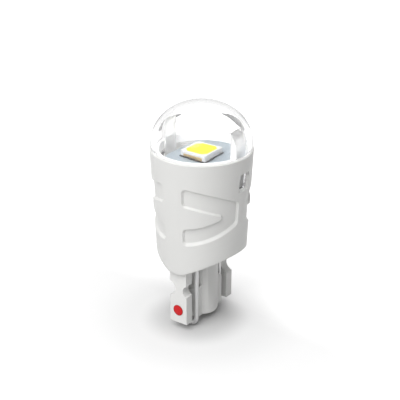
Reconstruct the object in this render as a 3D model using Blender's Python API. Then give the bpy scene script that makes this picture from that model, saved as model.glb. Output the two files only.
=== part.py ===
"""Wedge base LED bulb: a tapered moulded housing with a clear snap-on dome, a square LED on a round board,
a driver board inside, and a two-blade wedge base with two looped contact wires.

Metres, +Z up. The bulb stands upright on the axis X = Y = 0, the blades lie along X,
and Z = 0 is the lowest point of the contact wires.
"""

import math

import bmesh
import bpy
from mathutils import Matrix, Vector

MM = 0.001

# Fits
SEAT_GAP = 0.08 * MM
SLIDE_GAP = 0.15 * MM
FILM_GAP = 0.02 * MM

# How far a cutting shape reaches past what it cuts
CUT_MARGIN = 1.0 * MM

# Contact wires
WIRE_DIAMETER = 0.93 * MM
WIRE_X = 4.8 * MM
WIRE_FACE_Y = 2.2 * MM
WIRE_BEND_ABOVE_BLADE_FOOT = 0.43 * MM
WIRE_SIDES = 12
WIRE_BEND_STEPS = 16

# Wedge base
BLADE_OUTER_X = 7.9 * MM
BLADE_DEPTH_X = 1.91 * MM
BLADE_THICKNESS = 4.08 * MM
BLADE_EDGE_ROUND = 0.1 * MM
NOTCH_HEIGHT = 7.4 * MM
DEEP_NOTCH = 1.37 * MM
DEEP_NOTCH_RADIUS = 1.6 * MM
SHALLOW_NOTCH = 0.89 * MM
SHALLOW_NOTCH_RADIUS = 1.35 * MM
BOSS_DIAMETER = 6.66 * MM
BOSS_ROUND = 0.35 * MM
WEB_HALF_WIDTH = 4.2 * MM
WEB_HEIGHT = 6.9 * MM
WEB_TOP_SLOPE = 0.7 * MM
WEB_TOP_RUN = 0.84 * MM
WEB_INSET = 0.02 * MM
WEB_FOOT_INSET = 0.06 * MM
PLUG_COLLAR_HEIGHT = 1.6 * MM
PLUG_RECESS = 0.3 * MM
BLADE_ROOT = 1.6 * MM

# Housing, heights above the foot of the blades
RIM_DIAMETER = 20.1 * MM
RIM_HEIGHT = 35.1 * MM
RIM_ROUND = 0.25 * MM
DRAFT = math.radians(2.87)
HEM_HEIGHT = 11.4 * MM
HEM_FLAT_Y = 1.6 * MM
HEM_SLOPE = 0.5
WALL = 1.3 * MM
SKIRT_WALL = 0.58 * MM
SKIRT_STEP_ABOVE_HEM = 0.43 * MM
BOARD_POCKET_WALL = 0.8 * MM
BOARD_POCKET_DEPTH = 4.0 * MM

# Sunk chevrons in the housing
CHEVRON_DEPTH = 0.38 * MM
CHEVRON_WALL_WIDTH = 0.42 * MM
CHEVRON_SILL_WIDTH = 0.75 * MM
CHEVRON_BELOW_RIM = 11.0 * MM
CHEVRON_HALF_OPENING = 1.86 * MM
CHEVRON_SLOPE = 0.455
CHEVRON_BAND_HALF_WIDTH = 2.1 * MM
CHEVRON_SIDE_X = 1.1 * MM
CHEVRON_TOP_CORNER_ROUND = 0.52 * MM
CHEVRON_LOW_CORNER_ROUND = 1.2 * MM
CHEVRON_END_ROUND = 0.95 * MM
ISLAND_BELOW_CHEVRON = 0.12 * MM
ISLAND_HALF_OPENING = 1.91 * MM
ISLAND_TIP_ROUND = 0.42 * MM
CHEVRON_LIP_ROUND = 0.16
CHEVRON_EDGE_STEPS = 12
CHEVRON_TANGENT_STEP = 0.18 * MM

# Snap windows
WINDOW_WIDTH = 3.2 * MM
WINDOW_TALL = 3.55 * MM
WINDOW_BELOW_RIM = 3.2 * MM
WINDOW_SHIFT = 0.25 * MM

# Dome
DOME_STEP_BACK = 0.175 * MM
DOME_CYLINDER = 1.05 * MM
DOME_CROWN = 8.05 * MM
DOME_WALL = 0.9 * MM
SEAT_RING_THICKNESS = 0.85 * MM
LEG_HALF_WIDTH = 1.7 * MM
LEG_THICKNESS = 1.42 * MM
LEG_CLEARANCE = 0.23 * MM
LEG_BELOW_HOOK = 0.5 * MM
HOOK_HALF_WIDTH = 1.15 * MM
HOOK_REACH = 0.42 * MM
HOOK_TIP = 0.55 * MM
HOOK_RAMP = 2.1 * MM
HOOK_ROOT_DEPTH = 0.4 * MM
HOOK_HEEL = 0.2 * MM
LEG_STEP = 0.35 * MM

# Board and heat sink
BOARD_CLEARANCE = 0.25 * MM
BOARD_FLAT_CLEARANCE = 1.95 * MM
BOARD_THICKNESS = 1.0 * MM
BOARD_BELOW_RIM = 1.7 * MM
PAD_THICKNESS = 0.2 * MM
PAD_DIAMETER = 13.0 * MM
PAD_FLAT_STEP = 0.3 * MM
SINK_FLANGE_CLEARANCE = 0.15 * MM
SINK_FLAT_CLEARANCE = 0.2 * MM
SINK_CUP_CLEARANCE = 0.46 * MM
SINK_CUP_WALL = 0.7 * MM
SINK_CUP_ABOVE_WIRES = 0.4 * MM

# LED
LED_BASE_MARGIN_X = 0.24 * MM
LED_BASE_MARGIN_Y = 0.18 * MM
LED_BASE_THICKNESS = 0.14 * MM
LED_X = 5.9 * MM
LED_Y = 5.8 * MM
LED_THICKNESS = 1.12 * MM
LED_CORNER_ROUND = 0.2 * MM
LED_RIM_X = 0.4 * MM
LED_RIM_Y = 0.45 * MM
PHOSPHOR_CLIP = 0.9 * MM
PHOSPHOR_DEPTH = 0.35 * MM
CONTACT_Y = 4.3 * MM
CONTACT_HEIGHT = 0.5 * MM
CONTACT_DEPTH = 0.3 * MM
CONTACT_PROUD = 0.04 * MM

# Driver board
DRIVER_CLEARANCE = 0.8 * MM
DRIVER_THICKNESS = 0.7 * MM
DRIVER_BELOW_SINK = 0.25 * MM
DRIVER_ABOVE_PLUG = 0.3 * MM
WIRE_OVERLAP_ON_BOARD = 2.2 * MM
PIN_DIAMETER = 0.6 * MM
PIN_X = 3.6 * MM
PIN_OVERLAP_ON_BOARD = 2.0 * MM
PIN_HOLE_CLEARANCE = 0.5 * MM

# Components on the two faces of the driver board, placed down from its top
PACKAGE_X = 1.6 * MM
PACKAGE_BELOW_TOP = 2.9 * MM
PACKAGE_WIDTH = 4.8 * MM
PACKAGE_LENGTH = 3.9 * MM
PACKAGE_THICKNESS = 1.45 * MM
CAPACITOR_X = 1.9 * MM
CAPACITOR_BELOW_TOP = 5.9 * MM
CAPACITOR_WIDTH = 3.2 * MM
CAPACITOR_LENGTH = 1.6 * MM
CAPACITOR_THICKNESS = 1.3 * MM
RESISTOR_X = 2.6 * MM
RESISTOR_BELOW_TOP = 5.5 * MM
RESISTOR_PITCH = 1.1 * MM
RESISTOR_WIDTH = 1.6 * MM
RESISTOR_LENGTH = 0.8 * MM
RESISTOR_THICKNESS = 0.5 * MM
COMPONENT_EDGE = 0.06 * MM

# Red dot on one blade
DOT_DIAMETER = 2.3 * MM
DOT_HEIGHT = 2.8 * MM
DOT_THICKNESS = 0.06 * MM

# Facets
HOUSING_SEGMENTS = 96
DOME_SEGMENTS = 64
DOME_ARC_STEPS = 12
ROUND_SEGMENTS = 48
NOTCH_SEGMENTS = 32
HOLE_SEGMENTS = 16
DISC_STEPS = 24
CORNER_STEPS = 4

# Share of a round's radius at which a 45 degree facet meets it
FACET_INSET = 1 - math.sqrt(0.5)


def housing_radius(z):
    """Outer radius of the tapered housing at a height."""
    return RIM_DIAMETER / 2 - math.tan(DRAFT) * (RIM_Z - z)


def hem_z(y):
    """Height of the housing's slanted lower edge at a distance from the blade plane."""
    return FOOT_Z + HEM_HEIGHT + HEM_SLOPE * max(0.0, abs(y) - HEM_FLAT_Y)


# Heights worked out from the sizes above
WIRE_SLOT_Y = DRIVER_THICKNESS / 2 + SEAT_GAP + WIRE_DIAMETER / 2
WIRE_BEND_RADIUS = (WIRE_FACE_Y + WIRE_SLOT_Y) / 2
FOOT_Z = WIRE_BEND_RADIUS + WIRE_DIAMETER / 2 - WIRE_BEND_ABOVE_BLADE_FOOT
RIM_Z = FOOT_Z + RIM_HEIGHT
SKIRT_TOP_Z = hem_z(housing_radius(FOOT_Z + HEM_HEIGHT)) + SKIRT_STEP_ABOVE_HEM
PLUG_TOP_Z = SKIRT_TOP_Z + PLUG_COLLAR_HEIGHT
SHOULDER_Z = RIM_Z - BOARD_POCKET_DEPTH
CHEVRON_Z = RIM_Z - CHEVRON_BELOW_RIM
ISLAND_Z = CHEVRON_Z - ISLAND_BELOW_CHEVRON
WINDOW_TOP_Z = RIM_Z - WINDOW_BELOW_RIM
WINDOW_LOW_Z = WINDOW_TOP_Z - WINDOW_TALL
HOOK_TOP_Z = WINDOW_TOP_Z - SLIDE_GAP
HOOK_LOW_Z = HOOK_TOP_Z - HOOK_TIP - HOOK_RAMP
LEG_FOOT_Z = HOOK_LOW_Z - LEG_BELOW_HOOK
BOARD_TOP_Z = RIM_Z - BOARD_BELOW_RIM
BOARD_LOW_Z = BOARD_TOP_Z - BOARD_THICKNESS
PAD_TOP_Z = BOARD_LOW_Z - SEAT_GAP
PAD_LOW_Z = PAD_TOP_Z - PAD_THICKNESS
SINK_TOP_Z = PAD_LOW_Z - SEAT_GAP
SINK_LOW_Z = SHOULDER_Z + SEAT_GAP
LED_BASE_LOW_Z = BOARD_TOP_Z + SEAT_GAP
LED_LOW_Z = LED_BASE_LOW_Z + LED_BASE_THICKNESS + FILM_GAP
LED_TOP_Z = LED_LOW_Z + LED_THICKNESS
DRIVER_TOP_Z = SINK_LOW_Z - DRIVER_BELOW_SINK
DRIVER_LOW_Z = PLUG_TOP_Z + DRIVER_ABOVE_PLUG
DOME_FOOT_Z = RIM_Z + SEAT_GAP
DOME_SPRING_Z = DOME_FOOT_Z + DOME_CYLINDER
DOME_TOP_Z = DOME_SPRING_Z + DOME_CROWN

# Widths worked out from the sizes above
POCKET_RADIUS = RIM_DIAMETER / 2 - BOARD_POCKET_WALL
DOME_RADIUS = RIM_DIAMETER / 2 - DOME_STEP_BACK
LEG_OUTER_Y = POCKET_RADIUS - LEG_CLEARANCE
LEG_INNER_Y = LEG_OUTER_Y - LEG_THICKNESS
BOARD_FLAT_Y = LEG_INNER_Y - BOARD_FLAT_CLEARANCE
SINK_CUP_RADIUS = housing_radius(SKIRT_TOP_Z) - WALL - SINK_CUP_CLEARANCE
DRIVER_HALF_WIDTH = SINK_CUP_RADIUS - SINK_CUP_WALL - DRIVER_CLEARANCE


def clear_scene():
    for item in list(bpy.data.objects):
        bpy.data.objects.remove(item, do_unlink=True)


def material(name, colour, roughness, metallic=0.0, transmission=0.0):
    mat = bpy.data.materials.new(name)
    mat.use_nodes = True
    shader = mat.node_tree.nodes["Principled BSDF"]
    shader.inputs["Base Color"].default_value = (*colour, 1.0)
    shader.inputs["Roughness"].default_value = roughness
    shader.inputs["Metallic"].default_value = metallic
    shader.inputs["Transmission Weight"].default_value = transmission
    mat.diffuse_color = (*colour, 1.0)
    return mat


def object_from(bm, name):
    """Turns a bmesh into an object with outward faces."""
    bmesh.ops.recalc_face_normals(bm, faces=bm.faces)
    mesh = bpy.data.meshes.new(name)
    bm.to_mesh(mesh)
    bm.free()
    obj = bpy.data.objects.new(name, mesh)
    bpy.context.scene.collection.objects.link(obj)
    return obj


def boolean(target, tool, operation):
    """Applies one exact Boolean to the target and removes the tool."""
    modifier = target.modifiers.new("boolean", "BOOLEAN")
    modifier.solver = "EXACT"
    modifier.operation = operation
    modifier.object = tool
    graph = bpy.context.evaluated_depsgraph_get()
    mesh = bpy.data.meshes.new_from_object(target.evaluated_get(graph))
    target.modifiers.remove(modifier)
    target.data = mesh
    bpy.data.objects.remove(tool, do_unlink=True)
    return target


def cut(target, tool):
    return boolean(target, tool, "DIFFERENCE")


def join(target, tool):
    return boolean(target, tool, "UNION")


def revolve(name, profile, segments):
    """Turns a closed (radius, z) profile about the Z axis. Points on the axis have radius 0."""
    bm = bmesh.new()
    rings = []
    for radius, z in profile:
        if radius == 0:
            rings.append([bm.verts.new((0, 0, z))])
            continue
        ring = []
        for i in range(segments):
            angle = 2 * math.pi * i / segments
            ring.append(bm.verts.new((radius * math.cos(angle), radius * math.sin(angle), z)))
        rings.append(ring)
    for low, high in zip(rings, rings[1:] + rings[:1]):
        if len(low) == 1 and len(high) == 1:
            continue
        for i in range(segments):
            j = (i + 1) % segments
            corners = [low[i % len(low)], low[j % len(low)], high[j % len(high)], high[i % len(high)]]
            bm.faces.new(list(dict.fromkeys(corners)))
    return object_from(bm, name)


def prism(name, outline, axis, low, high):
    """Extrudes a closed outline along an axis. It holds the two other coordinates in X, Y, Z order."""
    bm = bmesh.new()
    ends = []
    for level in (low, high):
        ring = []
        for a, b in outline:
            point = {"X": (level, a, b), "Y": (a, level, b), "Z": (a, b, level)}[axis]
            ring.append(bm.verts.new(point))
        ends.append(ring)
        bm.faces.new(ring)
    count = len(outline)
    for i in range(count):
        j = (i + 1) % count
        bm.faces.new((ends[0][i], ends[0][j], ends[1][j], ends[1][i]))
    return object_from(bm, name)


def box(name, low, high):
    """A box between two corners."""
    outline = [(low[0], low[1]), (high[0], low[1]), (high[0], high[1]), (low[0], high[1])]
    return prism(name, outline, "Z", low[2], high[2])


def bevelled(obj, width, segments):
    """Rounds every edge of a box or a prism."""
    bm = bmesh.new()
    bm.from_mesh(obj.data)
    bmesh.ops.bevel(bm, geom=bm.edges[:], offset=width, segments=segments, profile=0.5, affect="EDGES")
    bm.to_mesh(obj.data)
    bm.free()
    return obj


def rounded_rectangle(half_x, half_y, radius):
    """Closed outline of a rectangle with rounded corners."""
    points = []
    for corner, (sx, sy) in enumerate(((1, 1), (-1, 1), (-1, -1), (1, -1))):
        for i in range(CORNER_STEPS + 1):
            angle = math.radians(90 * corner + 90 * i / CORNER_STEPS)
            x = sx * (half_x - radius) + radius * math.cos(angle)
            y = sy * (half_y - radius) + radius * math.sin(angle)
            points.append((x, y))
    return points


def clipped_rectangle(half_x, half_y, clip):
    """Closed outline of a rectangle with its corners cut off."""
    points = []
    for sx, sy, first in ((1, 1, True), (-1, 1, False), (-1, -1, True), (1, -1, False)):
        side = (sx * half_x, sy * (half_y - clip))
        end = (sx * (half_x - clip), sy * half_y)
        points += [side, end] if first else [end, side]
    return points


def disc_outline(radius, flat_y):
    """Closed outline of a disc with two flats parallel to X."""
    start = math.asin(min(1.0, flat_y / radius))
    points = []
    for side in (0, math.pi):
        for i in range(DISC_STEPS + 1):
            angle = side - start + 2 * start * i / DISC_STEPS
            points.append((radius * math.cos(angle), radius * math.sin(angle)))
    return points


def finish(obj, mat, smooth_angle=35):
    """Gives a piece its material and its shading."""
    obj.data.materials.clear()
    obj.data.materials.append(mat)
    obj.data.shade_smooth()
    obj.data.set_sharp_from_angle(angle=math.radians(smooth_angle))
    return obj


# Housing

def arc_between(before, corner, after, radius, steps=5):
    """Points of the fillet that rounds a corner between two straight neighbours."""
    a = (Vector(before) - Vector(corner)).normalized()
    b = (Vector(after) - Vector(corner)).normalized()
    half = math.acos(max(-1.0, min(1.0, a.dot(b)))) / 2
    reach = radius / math.tan(half)
    centre = Vector(corner) + (a + b).normalized() * radius / math.sin(half)
    start = Vector(corner) + a * reach - centre
    end = Vector(corner) + b * reach - centre
    turn = start.angle_signed(end)
    points = []
    for i in range(steps + 1):
        point = centre + Matrix.Rotation(-turn * i / steps, 2) @ start
        points.append((point.x, point.y))
    return points


def chevron_outline():
    """Outline of one sunk chevron on the unrolled housing.

    Its points hold the distance round from the blade's middle, and the height. Its long edges are
    straight when the bulb is seen square on to its wide side. Each point also has the width of the
    wall there, which is wider along the sill.
    """
    radius = housing_radius(CHEVRON_Z)

    def side_x(s):
        return radius * math.cos(s / radius)

    def s_at(x):
        return radius * math.acos(x / radius)

    def top(s):
        return CHEVRON_Z + CHEVRON_HALF_OPENING + CHEVRON_SLOPE * side_x(s)

    def bottom(s):
        return CHEVRON_Z - CHEVRON_HALF_OPENING - CHEVRON_SLOPE * side_x(s)

    def island_top(s):
        return ISLAND_Z - ISLAND_HALF_OPENING + CHEVRON_SLOPE * side_x(s)

    def island_bottom(s):
        return ISLAND_Z + ISLAND_HALF_OPENING - CHEVRON_SLOPE * side_x(s)

    s_end = radius * math.asin(CHEVRON_BAND_HALF_WIDTH / radius)
    s_side = s_at(CHEVRON_SIDE_X)
    s_tip = s_at(ISLAND_HALF_OPENING / CHEVRON_SLOPE)
    edges = (
        (top, CHEVRON_END_ROUND, CHEVRON_WALL_WIDTH),
        (None, CHEVRON_TOP_CORNER_ROUND, CHEVRON_WALL_WIDTH),
        (bottom, CHEVRON_LOW_CORNER_ROUND, CHEVRON_SILL_WIDTH),
        (None, CHEVRON_END_ROUND, CHEVRON_WALL_WIDTH),
        (island_bottom, CHEVRON_END_ROUND, CHEVRON_WALL_WIDTH),
        (island_top, ISLAND_TIP_ROUND, CHEVRON_WALL_WIDTH),
        (None, CHEVRON_END_ROUND, CHEVRON_WALL_WIDTH),
    )
    corners = (
        (s_end, top(s_end)),
        (s_side, top(s_side)),
        (s_side, bottom(s_side)),
        (s_end, bottom(s_end)),
        (s_end, island_bottom(s_end)),
        (s_tip, island_bottom(s_tip)),
        (s_end, island_top(s_end)),
    )
    count = len(corners)
    arcs = []
    for i, corner in enumerate(corners):
        curve_in = edges[i - 1][0]
        curve_out = edges[i][0]
        before = corners[i - 1]
        if curve_in:
            s = corner[0] + math.copysign(CHEVRON_TANGENT_STEP, before[0] - corner[0])
            before = (s, curve_in(s))
        after = corners[(i + 1) % count]
        if curve_out:
            s = corner[0] + math.copysign(CHEVRON_TANGENT_STEP, after[0] - corner[0])
            after = (s, curve_out(s))
        arcs.append(arc_between(before, corner, after, edges[i][1]))
    points = []
    widths = []
    for i, arc in enumerate(arcs):
        curve_out = edges[i][0]
        width_in = edges[i - 1][2]
        width_out = edges[i][2]
        points += arc
        last = len(arc) - 1
        widths += [width_in + (width_out - width_in) * k / last for k in range(len(arc))]
        if curve_out:
            start = arc[-1][0]
            end = arcs[(i + 1) % count][0][0]
            for k in range(1, CHEVRON_EDGE_STEPS):
                s = start + (end - start) * k / CHEVRON_EDGE_STEPS
                points.append((s, curve_out(s)))
                widths.append(width_out)
    return points, widths, radius


def chevron_cutter(sign_x, sign_y):
    """A tool with the chevron's outline, sloping walls and a floor that follows the taper."""
    outline, widths, radius = chevron_outline()
    count = len(outline)
    normals = []
    for i in range(count):
        before = Vector(outline[i - 1])
        after = Vector(outline[(i + 1) % count])
        along = (after - before).normalized()
        normals.append(Vector((along.y, -along.x)))
    area = sum(a[0] * b[1] - b[0] * a[1] for a, b in zip(outline, outline[1:] + outline[:1]))
    inward = -1 if area > 0 else 1
    lip = CHEVRON_LIP_ROUND
    rings = (
        (-RIM_DIAMETER / 4, 0.0),
        (-FILM_GAP, 0.0),
        (lip * CHEVRON_DEPTH, lip),
        ((1 - lip) * CHEVRON_DEPTH, 1 - lip),
        ((1 + lip) * CHEVRON_DEPTH, 1 + lip),
    )
    bm = bmesh.new()
    loops = []
    for depth, share in rings:
        loop = []
        for (s, z), width, normal in zip(outline, widths, normals):
            moved_s = s + inward * normal.x * width * share
            moved_z = z + inward * normal.y * width * share
            angle = moved_s / radius
            r = housing_radius(moved_z) - depth
            loop.append(bm.verts.new((sign_x * r * math.cos(angle), sign_y * r * math.sin(angle), moved_z)))
        loops.append(loop)
    for outer, inner in zip(loops, loops[1:]):
        for i in range(count):
            j = (i + 1) % count
            bm.faces.new((outer[i], outer[j], inner[j], inner[i]))
    caps = [bm.faces.new(loops[0]), bm.faces.new(loops[-1])]
    bmesh.ops.triangulate(bm, faces=caps)
    cutter = object_from(bm, "chevron_tool")
    low = FOOT_Z
    high = RIM_Z
    core = revolve("chevron_core", [
        (0, low),
        (housing_radius(low) - CHEVRON_DEPTH, low),
        (housing_radius(high) - CHEVRON_DEPTH, high),
        (0, high),
    ], HOUSING_SEGMENTS)
    return cut(cutter, core)


def below_hem(name, lowered):
    """Everything below the housing's slanted lower edge, for trimming."""
    reach = RIM_DIAMETER
    outline = [
        (-reach, -reach),
        (reach, -reach),
        (reach, hem_z(reach) - lowered),
        (HEM_FLAT_Y, hem_z(0) - lowered),
        (-HEM_FLAT_Y, hem_z(0) - lowered),
        (-reach, hem_z(reach) - lowered),
    ]
    return prism(name, outline, "X", -reach, reach)


def build_housing(mat):
    low = hem_z(0) - CUT_MARGIN
    housing = revolve("housing", [
        (housing_radius(low), low),
        (housing_radius(RIM_Z - RIM_ROUND), RIM_Z - RIM_ROUND),
        (housing_radius(RIM_Z) - RIM_ROUND * FACET_INSET, RIM_Z - RIM_ROUND * FACET_INSET),
        (housing_radius(RIM_Z) - RIM_ROUND, RIM_Z),
        (POCKET_RADIUS, RIM_Z),
        (POCKET_RADIUS, SHOULDER_Z),
        (housing_radius(SHOULDER_Z) - WALL, SHOULDER_Z),
        (housing_radius(SKIRT_TOP_Z) - WALL, SKIRT_TOP_Z),
        (housing_radius(SKIRT_TOP_Z) - SKIRT_WALL, SKIRT_TOP_Z),
        (housing_radius(low) - SKIRT_WALL, low),
    ], HOUSING_SEGMENTS)
    cut(housing, below_hem("hem_tool", 0.0))
    for sign_x in (-1, 1):
        for sign_y in (-1, 1):
            cut(housing, chevron_cutter(sign_x, sign_y))
    for side in (-1, 1):
        shift = -side * WINDOW_SHIFT
        inner, outer = sorted((side * LEG_INNER_Y, side * RIM_DIAMETER))
        window = box(
            "window_tool",
            (shift - WINDOW_WIDTH / 2, inner, WINDOW_LOW_Z),
            (shift + WINDOW_WIDTH / 2, outer, WINDOW_TOP_Z),
        )
        cut(housing, window)
        inner, outer = sorted((side * LEG_INNER_Y, side * (LEG_OUTER_Y + SLIDE_GAP)))
        groove = box(
            "groove_tool",
            (-LEG_HALF_WIDTH - SLIDE_GAP, inner, LEG_FOOT_Z - 2 * SLIDE_GAP),
            (LEG_HALF_WIDTH + SLIDE_GAP, outer, SHOULDER_Z + CUT_MARGIN),
        )
        cut(housing, groove)
    return finish(housing, mat)


# Wedge base

def notch_tool(side, face, depth, radius):
    """A rod along X that cuts a round notch in a blade's edge."""
    centre_y = face * (BLADE_THICKNESS / 2 + radius - depth)
    outline = []
    for i in range(NOTCH_SEGMENTS):
        angle = 2 * math.pi * i / NOTCH_SEGMENTS
        y = centre_y + radius * math.cos(angle)
        z = FOOT_Z + NOTCH_HEIGHT + radius * math.sin(angle)
        outline.append((y, z))
    inner_x = BLADE_OUTER_X - BLADE_DEPTH_X - CUT_MARGIN
    low, high = sorted((side * inner_x, side * (BLADE_OUTER_X + CUT_MARGIN)))
    return prism("notch_tool", outline, "X", low, high)


def build_wedge_base(mat):
    blade_top = hem_z(0) + BLADE_ROOT
    low = hem_z(0) - CUT_MARGIN
    collar = housing_radius(SKIRT_TOP_Z) - WALL - SLIDE_GAP
    base = revolve("wedge_base", [
        (0, low),
        (housing_radius(low) - SKIRT_WALL - SEAT_GAP, low),
        (housing_radius(SKIRT_TOP_Z) - SKIRT_WALL - SEAT_GAP, SKIRT_TOP_Z - SEAT_GAP),
        (collar, SKIRT_TOP_Z - SEAT_GAP),
        (collar, PLUG_TOP_Z),
        (0, PLUG_TOP_Z),
    ], HOUSING_SEGMENTS)
    cut(base, below_hem("plug_tool", -PLUG_RECESS))

    boss_top = SKIRT_TOP_Z
    boss = revolve("boss", [
        (0, FOOT_Z),
        (BOSS_DIAMETER / 2 - BOSS_ROUND, FOOT_Z),
        (BOSS_DIAMETER / 2 - BOSS_ROUND * FACET_INSET, FOOT_Z + BOSS_ROUND * FACET_INSET),
        (BOSS_DIAMETER / 2, FOOT_Z + BOSS_ROUND),
        (BOSS_DIAMETER / 2, boss_top),
        (0, boss_top),
    ], ROUND_SEGMENTS)
    join(base, boss)

    web_y = BLADE_THICKNESS / 2 - WEB_INSET
    web_top = FOOT_Z + WEB_HEIGHT
    web = prism("web", [
        (-WEB_HALF_WIDTH, FOOT_Z + WEB_FOOT_INSET),
        (WEB_HALF_WIDTH, FOOT_Z + WEB_FOOT_INSET),
        (WEB_HALF_WIDTH, web_top - WEB_TOP_SLOPE),
        (WEB_HALF_WIDTH - WEB_TOP_RUN, web_top),
        (-WEB_HALF_WIDTH + WEB_TOP_RUN, web_top),
        (-WEB_HALF_WIDTH, web_top - WEB_TOP_SLOPE),
    ], "Y", -web_y, web_y)
    join(base, web)

    for side in (-1, 1):
        inner, outer = sorted((side * (BLADE_OUTER_X - BLADE_DEPTH_X), side * BLADE_OUTER_X))
        blade = box(
            "blade",
            (inner, -BLADE_THICKNESS / 2, FOOT_Z),
            (outer, BLADE_THICKNESS / 2, blade_top),
        )
        bevelled(blade, BLADE_EDGE_ROUND, 2)
        cut(blade, notch_tool(side, -side, DEEP_NOTCH, DEEP_NOTCH_RADIUS))
        cut(blade, notch_tool(side, side, SHALLOW_NOTCH, SHALLOW_NOTCH_RADIUS))
        join(base, blade)

    ring_low = low - CUT_MARGIN
    ring = revolve("sleeve_tool", [
        (housing_radius(ring_low) - SKIRT_WALL - SEAT_GAP, ring_low),
        (RIM_DIAMETER, ring_low),
        (RIM_DIAMETER, SKIRT_TOP_Z - 2 * SEAT_GAP),
        (housing_radius(SKIRT_TOP_Z) - SKIRT_WALL - SEAT_GAP, SKIRT_TOP_Z - 2 * SEAT_GAP),
    ], HOUSING_SEGMENTS)
    cut(ring, below_hem("ring_tool", SEAT_GAP))
    cut(base, ring)

    for side in (-1, 1):
        x = side * WIRE_X
        for y, top in ((side * WIRE_FACE_Y, SKIRT_TOP_Z), (-side * WIRE_SLOT_Y, PLUG_TOP_Z + CUT_MARGIN)):
            hole = revolve("hole_tool", [
                (0, FOOT_Z),
                (WIRE_DIAMETER / 2 + SEAT_GAP, FOOT_Z),
                (WIRE_DIAMETER / 2 + SEAT_GAP, top),
                (0, top),
            ], HOLE_SEGMENTS)
            hole.data.transform(Matrix.Translation((x, y, 0)))
            cut(base, hole)
    return finish(base, mat)


def wire_path(side):
    """Centre line of one contact wire: down the base's face, round under it and up through its slot."""
    x = side * WIRE_X
    face_top = SKIRT_TOP_Z - 1.5 * SEAT_GAP - WIRE_DIAMETER / 2
    centre_y = side * (WIRE_FACE_Y - WIRE_SLOT_Y) / 2
    centre_z = WIRE_BEND_RADIUS + WIRE_DIAMETER / 2
    points = [(x, side * WIRE_FACE_Y, face_top)]
    for i in range(WIRE_BEND_STEPS + 1):
        angle = math.pi * i / WIRE_BEND_STEPS
        y = centre_y + side * WIRE_BEND_RADIUS * math.cos(angle)
        z = centre_z - WIRE_BEND_RADIUS * math.sin(angle)
        points.append((x, y, z))
    points.append((x, -side * WIRE_SLOT_Y, DRIVER_LOW_Z + WIRE_OVERLAP_ON_BOARD))
    return points


def tube(name, points, radius, sides):
    """A round tube in a plane of constant X along a centre line, with flat ends."""
    bm = bmesh.new()
    rings = []
    last = len(points) - 1
    for i, point in enumerate(points):
        before = Vector(points[max(0, i - 1)])
        after = Vector(points[min(last, i + 1)])
        along = (after - before).normalized()
        across = Vector((1, 0, 0))
        up = along.cross(across)
        ring = []
        for k in range(sides):
            angle = 2 * math.pi * k / sides
            outward = math.cos(angle) * across + math.sin(angle) * up
            ring.append(bm.verts.new(Vector(point) + radius * outward))
        rings.append(ring)
    for first, second in zip(rings, rings[1:]):
        for k in range(sides):
            j = (k + 1) % sides
            bm.faces.new((first[k], first[j], second[j], second[k]))
    bm.faces.new(rings[0])
    bm.faces.new(rings[-1])
    return object_from(bm, name)


def build_contact_wires(mat):
    for side, name in ((-1, "contact_wire_left"), (1, "contact_wire_right")):
        finish(tube(name, wire_path(side), WIRE_DIAMETER / 2, WIRE_SIDES), mat)


# Dome

def dome_arc(radius, height, spring_z):
    """Points of a quarter ellipse from its widest place to just before its top, then the top."""
    points = []
    for i in range(DOME_ARC_STEPS):
        angle = math.pi / 2 * i / DOME_ARC_STEPS
        points.append((radius * math.cos(angle), spring_z + height * math.sin(angle)))
    points.append((0, spring_z + height))
    return points


def build_dome(mat):
    inner_radius = DOME_RADIUS - DOME_WALL
    ring_outer = POCKET_RADIUS - SLIDE_GAP
    ring_inner = ring_outer - SEAT_RING_THICKNESS
    ring_low = BOARD_TOP_Z + SEAT_GAP
    dome = revolve("dome_lens", [(0, LEG_FOOT_Z), (DOME_RADIUS, LEG_FOOT_Z)] + dome_arc(
        DOME_RADIUS, DOME_CROWN, DOME_SPRING_Z), DOME_SEGMENTS)
    below = LEG_FOOT_Z - CUT_MARGIN
    room = revolve("room_tool", [
        (0, below),
        (RIM_DIAMETER, below),
        (RIM_DIAMETER, DOME_FOOT_Z),
        (ring_outer, DOME_FOOT_Z),
        (ring_outer, ring_low),
        (ring_inner, ring_low),
        (ring_inner, DOME_FOOT_Z),
        (inner_radius, DOME_FOOT_Z),
    ] + dome_arc(inner_radius, DOME_CROWN - DOME_WALL, DOME_SPRING_Z), DOME_SEGMENTS)
    step_z = DOME_FOOT_Z + LEG_STEP
    for side in (-1, 1):
        outline = [
            (side * LEG_INNER_Y, below - CUT_MARGIN),
            (side * LEG_OUTER_Y, below - CUT_MARGIN),
            (side * LEG_OUTER_Y, step_z),
            (side * RIM_DIAMETER, step_z),
            (side * RIM_DIAMETER, DOME_TOP_Z),
            (side * LEG_INNER_Y, DOME_TOP_Z),
        ]
        cut(room, prism("leg_tool", outline, "X", -LEG_HALF_WIDTH, LEG_HALF_WIDTH))
    cut(dome, room)
    for side in (-1, 1):
        shift = -side * WINDOW_SHIFT
        root = side * (LEG_OUTER_Y - HOOK_ROOT_DEPTH)
        tip = side * (LEG_OUTER_Y + HOOK_REACH)
        outline = [
            (root, HOOK_LOW_Z),
            (side * LEG_OUTER_Y, HOOK_LOW_Z + HOOK_HEEL),
            (tip, HOOK_TOP_Z - HOOK_TIP),
            (tip, HOOK_TOP_Z),
            (root, HOOK_TOP_Z),
        ]
        hook = prism("hook", outline, "X", shift - HOOK_HALF_WIDTH, shift + HOOK_HALF_WIDTH)
        join(dome, hook)
    return finish(dome, mat, 40)


# Board, pad and heat sink

def build_board(mat):
    outline = disc_outline(POCKET_RADIUS - BOARD_CLEARANCE, BOARD_FLAT_Y)
    return finish(prism("led_board", outline, "Z", BOARD_LOW_Z, BOARD_TOP_Z), mat)


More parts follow.
